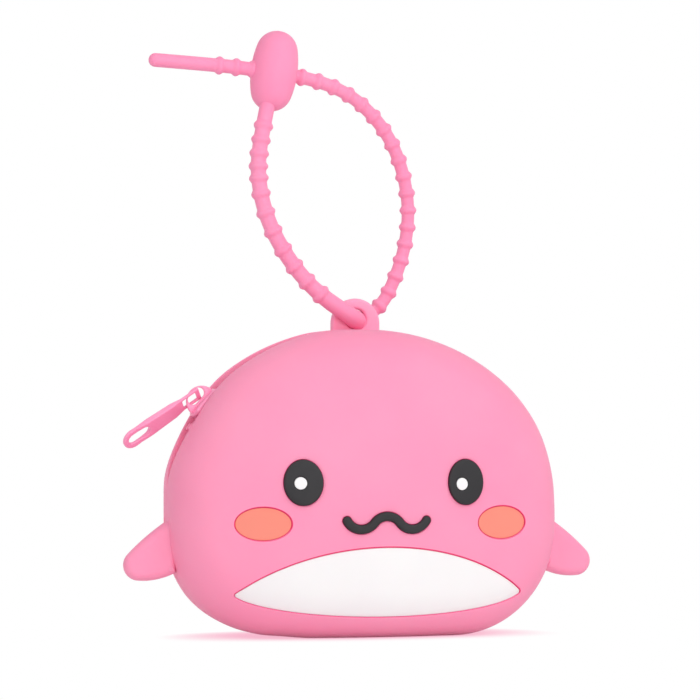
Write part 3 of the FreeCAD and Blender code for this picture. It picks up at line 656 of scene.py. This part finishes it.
for name, side, dot_x, dot_z in (("left", -1, -0.0009, -0.00015), ("right", 1, -0.0013, -0.0005)):
    eye = oval(side * eye_x, eye_z, eye_wide, eye_high, 110)
    dot = oval(side * eye_x + dot_x, eye_z + dot_z, dot_radius, dot_radius, 56)
    dot_hole = offset(dot, close_fit)[::-1]
    eye_parts = slab([eye, dot_hole], inlay_edge(raised, eye_round, -seat), on_face, 0.0009)
    piece(name + "_eye_oval", eye_parts, dark, "purse", "dark_silicone", name + "_eye")
    dot_parts = slab([dot], inlay_edge(raised, sharp_round, raised - dot_depth), on_face, 0.0006)
    piece(name + "_eye_dot", dot_parts, white, "purse", "white_silicone", name + "_eye_highlight")
    cheek_parts = slab([cheek_loop(side, 0)], inlay_edge(-sunk, sharp_round, -sunk_seat), on_face, 0.0010)
    piece(name + "_cheek_oval", cheek_parts, salmon, "purse", "salmon_silicone", name + "_cheek")
mouth_parts = slab([mouth_loop(0)], inlay_edge(raised, mouth_round, -seat), on_face, 0.0006)
piece("mouth_stroke", mouth_parts, dark, "purse", "dark_silicone", "mouth")
belly_parts = slab([belly_loop(0)], inlay_edge(-sunk, sharp_round, -sunk_seat), on_face, 0.0012)
piece("belly_lens", belly_parts, white, "purse", "white_silicone", "belly_patch")


# Zip tapes: two woven polyester tapes bonded under the rims, with their bare edges facing each
# other under the teeth. The edges come together at the stops and stay so below them.
tape_depth, tape_thickness, tape_outer = 0.00202, 0.00058, 0.0080
tape_inner, tape_shut, tape_end, tape_step, tape_sides = 0.0015, 0.00006, 0.034, 0.0007, 32
shut_from, shut_over = math.radians(53), 0.0015
chain_sunk = 0.0023
tape_radius = top_radius - chain_sunk


def joined(nodes, links, operation, first, second):
    """Two values put together by one operation and kept between 0 and 1."""
    node = nodes.new("ShaderNodeMath")
    node.operation = operation
    node.use_clamp = True
    links.new(first, node.inputs[0])
    links.new(second, node.inputs[1])
    return node.outputs[0]


def woven(name, dark_tone, light_tone):
    """Woven tape: warp ribs along it and weft across it, as two crossed waves on the tape's own
    lengths, in the bump and in the tone."""
    material, nodes, links, shader = new_material(name)
    run = nodes.new("ShaderNodeUVMap")
    run.uv_map = "run"
    heights = []
    for direction, scale in (("X", 1.6), ("Y", 2.0)):
        wave = nodes.new("ShaderNodeTexWave")
        wave.bands_direction = direction
        wave.inputs["Scale"].default_value = scale
        wave.inputs["Distortion"].default_value = 0.6
        wave.inputs["Detail"].default_value = 1
        links.new(run.outputs["UV"], wave.inputs["Vector"])
        heights.append(wave.outputs["Fac"])
    cross = joined(nodes, links, "MULTIPLY", *heights)
    links.new(tones(nodes, links, cross, dark_tone, light_tone), shader.inputs["Base Color"])
    bumped(nodes, links, shader, cross, 0.6, 0.0001)
    shader.inputs["Roughness"].default_value = 0.85
    shader.inputs["Sheen Weight"].default_value = 0.25
    return material


tape_pink = woven("tape_weave", linear(244, 118, 166), linear(255, 146, 188))
tape_start = marks[2] + tape_end - corner_radius
tape_run = np.arange(tape_start, girth - tape_start, tape_step)
tape_line, tape_normal = outline_at(tape_run)
shut_height = top_height + tape_radius * math.cos(shut_from)
shut = np.clip((shut_height - tape_line[:, 1]) / shut_over, 0, 1)
inner_edge = tape_inner + (tape_shut - tape_inner) * shut * shut * (3 - 2 * shut)
corner = np.linspace(0, 2 * math.pi, tape_sides, endpoint=False)
across = 0.5 + 0.5 * np.sign(np.cos(corner)) * np.abs(np.cos(corner)) ** 0.25
through = 0.5 + 0.5 * np.sign(np.sin(corner)) * np.abs(np.sin(corner)) ** 0.6
tape_y = inner_edge[:, None] + across * (tape_outer - inner_edge[:, None])
tape_in = tape_depth + through * tape_thickness
tape_flat = tape_line[:, None] - tape_in[:, None] * tape_normal[:, None]
for name, side in (("front", -1), ("back", 1)):
    tape_rows = np.stack([tape_flat[..., 0], side * tape_y, tape_flat[..., 1]], -1)
    middle = [np.repeat(row.mean(0)[None], tape_sides, 0) for row in (tape_rows[0], tape_rows[-1])]
    closed_rows = np.concatenate([middle[0][None], tape_rows, middle[1][None]])
    weave = [sheet(closed_rows)]
    tape = piece(name + "_tape_weave", weave, tape_pink, "purse", "zip_tape", name + "_zip_tape")
    corners = np.zeros(len(tape.data.loops), np.int32)
    tape.data.loops.foreach_get("vertex_index", corners)
    spots = np.zeros(len(tape.data.vertices) * 3)
    tape.data.vertices.foreach_get("co", spots)
    spots = spots.reshape(-1, 3)
    turn = np.arctan2(spots[:, 0], spots[:, 2] - top_height) * tape_radius
    run = np.stack([turn, spots[:, 1]], 1)[corners] * 1000
    tape.data.uv_layers.new(name="run").data.foreach_set("uv", run.ravel())


# Zip teeth and stops: two rows of moulded plastic teeth on the tapes' edges, each tooth's round
# head between two of the other row, and small moulded blocks that end the slider's way.
tooth_pitch, tooth_width, tooth_height, tooth_outer, tooth_reach = 0.0023, 0.0009, 0.0024, 0.0022, 0.0008
tooth_neck, neck_end, head_start, tooth_power = 0.86, 0.0002, 0.0014, 0.5
chain_start, chain_end, top_stop, bottom_stop = -47.6, 51.5, -55, 54.5
tooth_step = math.degrees(tooth_pitch / tape_radius)


def plastic(name, dark_tone, light_tone, rough):
    """Moulded plastic or enamel: an even gloss with a faint drift of tone and a slight ripple."""
    material, nodes, links, shader = new_material(name)
    place = nodes.new("ShaderNodeTexCoord").outputs["Object"]
    drift = between(nodes, links, noise(nodes, links, place, 160, 2), 0, 1)
    links.new(tones(nodes, links, drift, dark_tone, light_tone), shader.inputs["Base Color"])
    gloss = between(nodes, links, noise(nodes, links, place, 700, 2), rough - 0.05, rough + 0.07)
    links.new(gloss, shader.inputs["Roughness"])
    bumped(nodes, links, shader, noise(nodes, links, place, 900, 2), 0.06, 0.0002)
    return material


def rounded_block(half_sizes, power):
    """A block with round edges: a sphere's grid whose sines and cosines are raised to a small power."""
    u = np.linspace(0, 2 * math.pi, 20, endpoint=False)
    v = np.linspace(-math.pi / 2, math.pi / 2, 11)[:, None]

    def soft(t):
        return np.sign(t) * np.abs(t) ** power

    belt = soft(np.cos(v))
    block = np.stack([belt * soft(np.cos(u)), belt * soft(np.sin(u)), soft(np.sin(v)) + 0 * u], -1)
    return block * half_sizes


def on_arc(points, degrees):
    """Points drawn at the top of the zip's arc about its centre, turned to an angle of the arc."""
    c, s = math.cos(math.radians(degrees)), math.sin(math.radians(degrees))
    x, y, z = points[..., 0], points[..., 1], points[..., 2]
    return np.stack([x * c + z * s, y, top_height + z * c - x * s], -1)


teeth_pink = plastic("teeth_plastic", linear(250, 128, 174), linear(255, 140, 183), 0.36)
tooth = rounded_block([tooth_width / 2, (tooth_outer + tooth_reach) / 2, tooth_height / 2], tooth_power)
head = np.clip((tooth[..., 1] - neck_end) / (head_start - neck_end), 0, 1)
tooth[..., 0] *= tooth_neck + (1 - tooth_neck) * head
tooth += [0, (tooth_reach - tooth_outer) / 2, tape_radius]
for name, side, start in (("front", 1, chain_start), ("back", -1, chain_start + tooth_step / 2)):
    count = int((chain_end - start) / tooth_step) + 1
    row = [sheet(on_arc(tooth * [1, side, 1], start + k * tooth_step)) for k in range(count)]
    piece(name + "_teeth_row", row, teeth_pink, "purse", "zip_teeth", name + "_zip_teeth")

stop_half, stop_near, stop_far, stop_power = 0.001, 0.0005, 0.0023, 0.35
stop_block = rounded_block([stop_half, (stop_far - stop_near) / 2, tooth_height / 2], stop_power)
stop_y = (stop_near + stop_far) / 2
top_blocks = [sheet(on_arc(stop_block + [0, y, tape_radius], top_stop)) for y in (-stop_y, stop_y)]
piece("top_stop_blocks", top_blocks, teeth_pink, "purse", "zip_teeth", "zip_top_stops")
wide_block = rounded_block([stop_half, stop_far, tooth_height / 2], stop_power) + [0, 0, tape_radius]
bottom_block = [sheet(on_arc(wide_block, bottom_stop))]
piece("bottom_stop_block", bottom_block, teeth_pink, "purse", "zip_teeth", "zip_bottom_stop")


# Zip slider: die-cast and enamelled pink. Two curved plates with flanges run over and under the
# teeth, a post at the nose parts them, and an arched bail on the back holds the pull.
slider_angle, slider_half, nose_half, rear_half, nose_bulge = -48, 0.0047, 0.0036, 0.0031, 0.0018
plate_low, plate_high, keel_low, keel_high = 0.05765, 0.05895, 0.05355, 0.05475
upper_flange, lower_flange, flange_width = 0.05680, 0.05560, 0.0006
flange_back, flange_inset, flange_sunk = 0.0004, 0.00002, 0.0003
plate_round, flange_round, rear_round = 0.0004, 0.0001, 0.0007
post_radius, post_length, post_inset, overlap = 0.0011, 0.0021, 0.0003, 0.0002
bail_half, bail_height, bail_thick, bail_foot, bail_round = 0.0042, 0.0040, 0.0010, 0.0006, 0.00032
bail_slot_half, bail_slot_radius, bail_slot_z = 0.0026, 0.0014, 0.0019

enamel = plastic("pink_enamel", linear(255, 150, 191), linear(255, 158, 197), 0.33)


def bent(low, high):
    """Places a flat plan (along, across) on the zip's arc, between two radii."""
    def place(flat, height):
        radius = (low + high) / 2 + height
        turn = math.radians(slider_angle) + flat[:, 0] / ((low + high) / 2)
        return np.stack([radius * np.sin(turn), -flat[:, 1], top_height + radius * np.cos(turn)], 1)
    return place


bulge_x = nose_bulge - slider_half
nose_arc = bowed((bulge_x, nose_half), (-slider_half, 0), (bulge_x, -nose_half), 40)
tail = np.concatenate([
    sweep(slider_half - rear_round, -rear_half + rear_round, rear_round, -90, 0, 8),
    sweep(slider_half - rear_round, rear_half - rear_round, rear_round, 0, 90, 8),
])
plan = even(np.concatenate([nose_arc, tail]), 0.00025)
flange = np.array([
    [bulge_x, nose_half - flange_width],
    [slider_half - flange_back, rear_half - flange_width],
    [slider_half - flange_back, rear_half - flange_inset],
    [bulge_x, nose_half - flange_inset],
])
slider_parts = []
for low, high in ((plate_low, plate_high), (keel_low, keel_high)):
    half = (high - low) / 2
    slider_parts += slab([plan], half_round(plate_round, -half, half, 5), bent(low, high), 0.0007)
for low, high in ((upper_flange, plate_low + flange_sunk), (keel_high - flange_sunk, lower_flange)):
    for side in (-1, 1):
        loop = even(flange * [1, side], 0.0003)[:: side]
        half = (high - low) / 2
        slider_parts += slab([loop], half_round(flange_round, -half, half, 3), bent(low, high), 0.0005)
post_x = -slider_half + post_inset + post_radius
post = np.concatenate([sweep(post_x, 0, post_radius, 90, 270, 20), [[post_x + post_length, 0]]])
half = (plate_low - keel_high) / 2 + overlap
on_post = bent(keel_high - overlap, plate_low + overlap)
slider_parts += slab([even(post, 0.0002)], [(0, half), (0, -half)], on_post, 0.0005)


def on_bail(flat, height):
    """The bail's flat plate, upright along the zip on top of the slider."""
    drawn = np.stack([flat[:, 0], -height, plate_high + flat[:, 1]], 1)
    return on_arc(drawn, slider_angle)


arch = bowed((bail_half, 0), (0, bail_height), (-bail_half, 0), 60)
bail_loop = np.concatenate([arch, [[-bail_half, -bail_foot], [bail_half, -bail_foot]]])
slot_end = bail_slot_half - bail_slot_radius
bail_slot = np.concatenate([
    sweep(slot_end, bail_slot_z, bail_slot_radius, -90, 90, 24),
    sweep(-slot_end, bail_slot_z, bail_slot_radius, 90, 270, 24),
])
bail_profile = half_round(bail_round, -bail_thick / 2, bail_thick / 2, 5)
bail_loops = [even(bail_loop, 0.0002), even(bail_slot, 0.0002)[::-1]]
slider_parts += slab(bail_loops, bail_profile, on_bail, 0.0004)
piece("slider_casting", slider_parts, enamel, "slider", "zip_slider", "slider_body")


# Pull tab: a flat enamelled tab whose eye is forked round the bail, closed by a round cross bar.
# It tapers out to a round end with an oblong slot, and hangs rolled on its side at rest.
pull_length, pull_half, pull_tip, pull_thick = 0.0240, 0.0024, 0.0031, 0.0008
pull_eye, pull_eye_half, pull_side, pull_neck, pull_bar = 0.0050, 0.0021, 0.0007, 0.0030, 0.0007
pull_slot_half, pull_slot_radius, pull_margin, pull_round = 0.0033, 0.0016, 0.0015, 0.00026
pull_lift, pull_roll = math.radians(14), math.radians(45)
along = np.array([-math.cos(pull_lift), 0, math.sin(pull_lift)])
outward = np.array([math.sin(pull_lift), 0, math.cos(pull_lift)])
over = np.array([0, math.cos(pull_roll), 0]) - outward * math.sin(pull_roll)
pivot_x = 0.0009
pivot = np.array([pivot_x, 0, plate_high + bail_slot_z])
wide = pull_eye + pull_neck
slot_x = pull_length - pull_margin - pull_slot_half


def on_pull(flat, height):
    """The pull's flat plan (along, across) hung in the bail: pivot plus along, across and its normal.
    The tab is thicker between the fork and the slot."""
    rise = height * np.interp(flat[:, 0], [pull_eye, wide, slot_x - pull_slot_half, slot_x], [1, 2, 2, 1.2])
    drawn = pivot + flat[:, :1] * along + flat[:, 1:] * over + rise[:, None] * np.cross(along, over)
    return on_arc(drawn, slider_angle)


end_x = pull_length - pull_tip
fork_end = -pull_bar * 0.6
tab = np.concatenate([
    [[fork_end, -pull_eye_half], [pull_eye, -pull_eye_half], [wide, -pull_half]],
    sweep(end_x, 0, pull_tip, -90, 90, 40),
    [[wide, pull_half], [pull_eye, pull_eye_half], [fork_end, pull_eye_half]],
])
inner = pull_eye_half - pull_side
soft_corner = 0.0004
bar_corner = soft_corner * 0.3
window = np.concatenate([
    sweep(pull_bar + bar_corner, -inner + bar_corner, bar_corner, 180, 270, 5),
    sweep(pull_eye - soft_corner, -inner + soft_corner, soft_corner, -90, 0, 8),
    sweep(pull_eye - soft_corner, inner - soft_corner, soft_corner, 0, 90, 8),
    sweep(pull_bar + bar_corner, inner - bar_corner, bar_corner, 90, 180, 5),
])
slot_reach = pull_slot_half - pull_slot_radius
pull_slot = np.concatenate([
    sweep(slot_x + slot_reach, 0, pull_slot_radius, -90, 90, 24),
    sweep(slot_x - slot_reach, 0, pull_slot_radius, 90, 270, 24),
])
pull_loops = [even(tab, 0.00025), even(window, 0.0002)[::-1], even(pull_slot, 0.00025)[::-1]]
pull_profile = half_round(pull_round, -pull_thick / 2, pull_thick / 2, 5)
pull_parts = slab(pull_loops, pull_profile, on_pull, 0.0006)
piece("pull_stamping", pull_parts, enamel, "pull", "zip_slider", "pull_tab")


# Strap: one soft silicone moulding. A ribbed cord grows out of the foot of an oval head, runs
# through the eyelet and back through the head, whose bore holds it by the ribs.
cord_diameter, cord_tip, cord_step, cord_tip_gap, cord_sides = 0.0037, 0.0018, 0.00028, 0.0001, 28
rib_height, rib_length, rib_pitch, rib_power, bore_clear = 0.0006, 0.0024, 0.00464, 1.3, 0.0002
front_rib_start, front_ribs, back_ribs, tail_ribs, tail_sunk = 0.0078, 12, 18, 3, 0.0016
head_centre = np.array([-0.0215, 0.0095, 0.1512])
head_half, head_radius, head_end, head_tilt = 0.0109, 0.0063, 0.0056, math.radians(8)
route = [
    (-0.0234, 0.0080, 0.1435), (-0.0250, 0.0065, 0.1374), (-0.0264, 0.0060, 0.1305),
    (-0.0269, 0.0060, 0.1240), (-0.0260, 0.0060, 0.1170), (-0.0238, 0.0060, 0.1100),
    (-0.0202, 0.0060, 0.1032), (-0.0153, 0.0060, 0.0965), (-0.0092, 0.0060, 0.0906),
    (0.0008, 0.0060, 0.0842), (0.0028, 0.0142, 0.0844), (0.0098, 0.0142, 0.0882),
    (0.0137, 0.0138, 0.0960), (0.0164, 0.0134, 0.1046), (0.0173, 0.0128, 0.1138),
    (0.0161, 0.0122, 0.1226), (0.0130, 0.0116, 0.1314), (0.0080, 0.0110, 0.1388),
    (-0.0001, 0.0104, 0.1458), (-0.0116, 0.0097, 0.1497), (-0.0295, 0.0095, 0.1518),
    (-0.0430, 0.0092, 0.1526), (-0.0561, 0.0088, 0.1532),
]

strap_pink = silicone("strap_silicone", linear(255, 148, 187), linear(255, 154, 191), 0.5)


def smooth_line(points):
    """Points along the NURBS curve that has the route as its control points."""
    curve = bpy.data.curves.new("strap_line", "CURVE")
    curve.dimensions = "3D"
    spline = curve.splines.new("NURBS")
    spline.points.add(len(points) - 1)
    spline.points.foreach_set("co", np.c_[points, np.ones(len(points))].ravel())
    spline.order_u = 3
    spline.use_endpoint_u = True
    curve.resolution_u = 24
    holder = bpy.data.objects.new("strap_line", curve)
    line = bpy.data.meshes.new_from_object(holder)
    spots = np.zeros(len(line.vertices) * 3)
    line.vertices.foreach_get("co", spots)
    bpy.data.objects.remove(holder)
    bpy.data.meshes.remove(line)
    bpy.data.curves.remove(curve)
    return spots.reshape(-1, 3)


line = smooth_line(np.array(route))
run = np.concatenate([[0], np.cumsum(np.linalg.norm(np.diff(line, axis=0), axis=1))])
cord_length = run[-1]
stations = np.arange(0, cord_length - cord_tip, cord_step)
tip = cord_length - cord_tip * (1 - np.sin(np.linspace(0, math.pi / 2, 9)))
stations = np.concatenate([stations[stations < tip[0] - cord_tip_gap], tip])
path = np.stack([np.interp(stations, run, line[:, k]) for k in range(3)], 1)
bore = run[np.linalg.norm(line - head_centre, axis=1).argmin()]
bore_reach = head_radius + rib_length / 2 + bore_clear
gap_marks, gap_widths = [0, 1, 4, 6, 8, 11], [0, 0.0039, 0.0032, 0.0052, 0.0056, 0.0051]
front_gaps = np.interp(np.arange(front_ribs), gap_marks, gap_widths)
ribs = np.concatenate([
    front_rib_start + np.cumsum(front_gaps),
    bore - bore_reach - rib_pitch * np.arange(back_ribs),
    bore + bore_reach - tail_sunk + rib_pitch * np.arange(tail_ribs),
])
nearest = np.abs(stations[:, None] - ribs).min(1)
bulge = np.cos(np.clip(nearest / rib_length, 0, 0.5) * math.pi) ** rib_power
core_at = [0.055, 0.062, 0.066, 0.070, 0.073, 0.080, 0.150, 0.175]
core_radii = [0.00205, 0.00225, 0.00225, 0.00250, 0.00250, 0.00172, 0.00172, 0.00185]
core = np.interp(stations, core_at, core_radii)
left = np.clip((cord_length - stations) / cord_tip, 0, 1)
radius = (core + bulge * rib_height) * np.sqrt(1 - (1 - left) ** 2)


def carried(path, radius, count):
    """A tube: circles of the given radii across the path. Each circle's first direction is the one
    before it, made square to the path again, so that the tube doesn't twist."""
    ahead = np.gradient(path, axis=0)
    ahead /= np.linalg.norm(ahead, axis=1)[:, None]
    steady = np.empty_like(path)
    way = np.array([0.0, 1.0, 0.0])
    for k, forward in enumerate(ahead):
        way = way - forward * (way @ forward)
        way /= np.linalg.norm(way)
        steady[k] = way
    third = np.cross(ahead, steady)
    a = np.linspace(0, 2 * math.pi, count, endpoint=False)[:, None]
    ring = np.cos(a) * steady[:, None] + np.sin(a) * third[:, None]
    return path[:, None] + radius[:, None, None] * ring


tube = carried(path, np.maximum(radius, 1e-9), cord_sides)
tube = np.concatenate([np.repeat(path[:1], cord_sides, 0)[None], tube])
cord = piece("strap_ribbed_cord", [sheet(tube)], strap_pink, "strap", "strap_silicone", "strap_cord")

end_z = head_half - head_end
head_side = (end_z**2 + head_radius**2 - head_end**2) / (2 * (head_radius - head_end))
touch = math.degrees(math.atan2(end_z, head_side - head_radius))
profile = np.concatenate([
    sweep(0, -end_z, head_end, -90, -touch, 20)[:-1],
    sweep(head_radius - head_side, 0, head_side, -touch, touch, 24)[:-1],
    sweep(0, end_z, head_end, touch, 90, 20),
])
turn = np.linspace(0, 2 * math.pi, 64, endpoint=False)
barrel_r, barrel_z = np.abs(profile[:, :1]), profile[:, 1:]
barrel = np.stack([barrel_r * np.cos(turn), barrel_r * np.sin(turn), barrel_z + 0 * turn], -1)
lean_x = barrel[..., 0] * math.cos(head_tilt) + barrel[..., 2] * math.sin(head_tilt)
lean_z = barrel[..., 2] * math.cos(head_tilt) - barrel[..., 0] * math.sin(head_tilt)
barrel = np.stack([lean_x, barrel[..., 1], lean_z], -1) + head_centre
strap_head = piece("strap_oval_head", [sheet(barrel)], strap_pink, "strap", "strap_silicone", "strap_head")


# Stage: a white floor with a painted pale pink shadow close round the purse, and an even white sky.
# Soft light comes from a large lamp at the upper right and weaker ones at the left and low in front.
def straight_rays(nodes, links):
    """1 for rays from the camera and for those that gloss or glass passes on, 0 for light that spreads."""
    rays = nodes.new("ShaderNodeLightPath")
    total = rays.outputs["Is Camera Ray"]
    for kind in ("Is Glossy Ray", "Is Transmission Ray"):
        total = joined(nodes, links, "ADD", total, rays.outputs[kind])
    return total


floor_mesh = bpy.data.meshes.new("floor")
floor_mesh.from_pydata([(-3, -3, 0), (3, -3, 0), (3, 3, 0), (-3, 3, 0)], [], [(0, 1, 2, 3)])
floor_object = bpy.data.objects.new("floor", floor_mesh)
bpy.context.scene.collection.objects.link(floor_object)
material, nodes, links, shader = new_material("floor_white")
shader.inputs["Roughness"].default_value = 0.9
shader.inputs["Specular IOR Level"].default_value = 0.1
shader.inputs["Base Color"].default_value = linear(247, 247, 247)
# Painted shadow: the floor's own light turns pale pink where the purse hides it, seen along a normal leaned
# forward.
leaning = nodes.new("ShaderNodeCombineXYZ")
for axis, part in zip("XYZ", (0.0, -0.80, 0.60)):
    leaning.inputs[axis].default_value = part
near = nodes.new("ShaderNodeAmbientOcclusion")
near.inputs["Distance"].default_value = 0.014
near.samples = 16
links.new(leaning.outputs[0], near.inputs["Normal"])
open_share = between(nodes, links, near.outputs["AO"], 0, 1, 0.30, 0.95)
plain = between(nodes, links, open_share, 0.92, 1, 0, 1)
share = joined(nodes, links, "MULTIPLY", straight_rays(nodes, links), plain)
floor_light_and_painted_shadow = nodes.new("ShaderNodeEmission")
painted_shadow_tone = tones(nodes, links, open_share, linear(254, 190, 212), (1, 1, 1, 1))
links.new(painted_shadow_tone, floor_light_and_painted_shadow.inputs["Color"])
mix = nodes.new("ShaderNodeMixShader")
links.new(share, mix.inputs[0])
links.new(shader.outputs[0], mix.inputs[1])
links.new(floor_light_and_painted_shadow.outputs[0], mix.inputs[2])
links.new(mix.outputs[0], nodes["Material Output"].inputs["Surface"])
floor_mesh.materials.append(material)

world = bpy.data.worlds.new("studio")
world.use_nodes = True
bpy.context.scene.world = world
nodes, links = world.node_tree.nodes, world.node_tree.links
level = between(nodes, links, straight_rays(nodes, links), 0.575, 1, 0, 1)
links.new(level, nodes["Background"].inputs["Strength"])
nodes["Background"].inputs["Color"].default_value = (1, 1, 1, 1)

for name, spot, size, power in (
    ("key_lamp", (0.55, -0.85, 0.95), 0.9, 5.0),
    ("fill_lamp", (-0.9, -0.7, 0.5), 0.9, 2.15),
    ("low_lamp", (0.10, -0.95, 0.06), 0.5, 3.0),
):
    lamp = bpy.data.lights.new(name, "AREA")
    lamp.size = size
    lamp.energy = power
    lamp_object = bpy.data.objects.new(name, lamp)
    lamp_object.location = spot
    lamp_object.rotation_euler = (Vector((0, 0, 0.05)) - Vector(spot)).to_track_quat("-Z", "Y").to_euler()
    bpy.context.scene.collection.objects.link(lamp_object)

lens = bpy.data.cameras.new("camera")
lens.lens = 168.9
lens.sensor_width = 36
lens.clip_start = 0.01
camera = bpy.data.objects.new("camera", lens)
camera.location = (-0.2432, -0.8426, 0.055)
camera.rotation_euler = (math.radians(91.383), 0, math.radians(-15.91))
bpy.context.scene.collection.objects.link(camera)
bpy.context.scene.camera = camera
bpy.context.scene.view_settings.view_transform = "Standard"
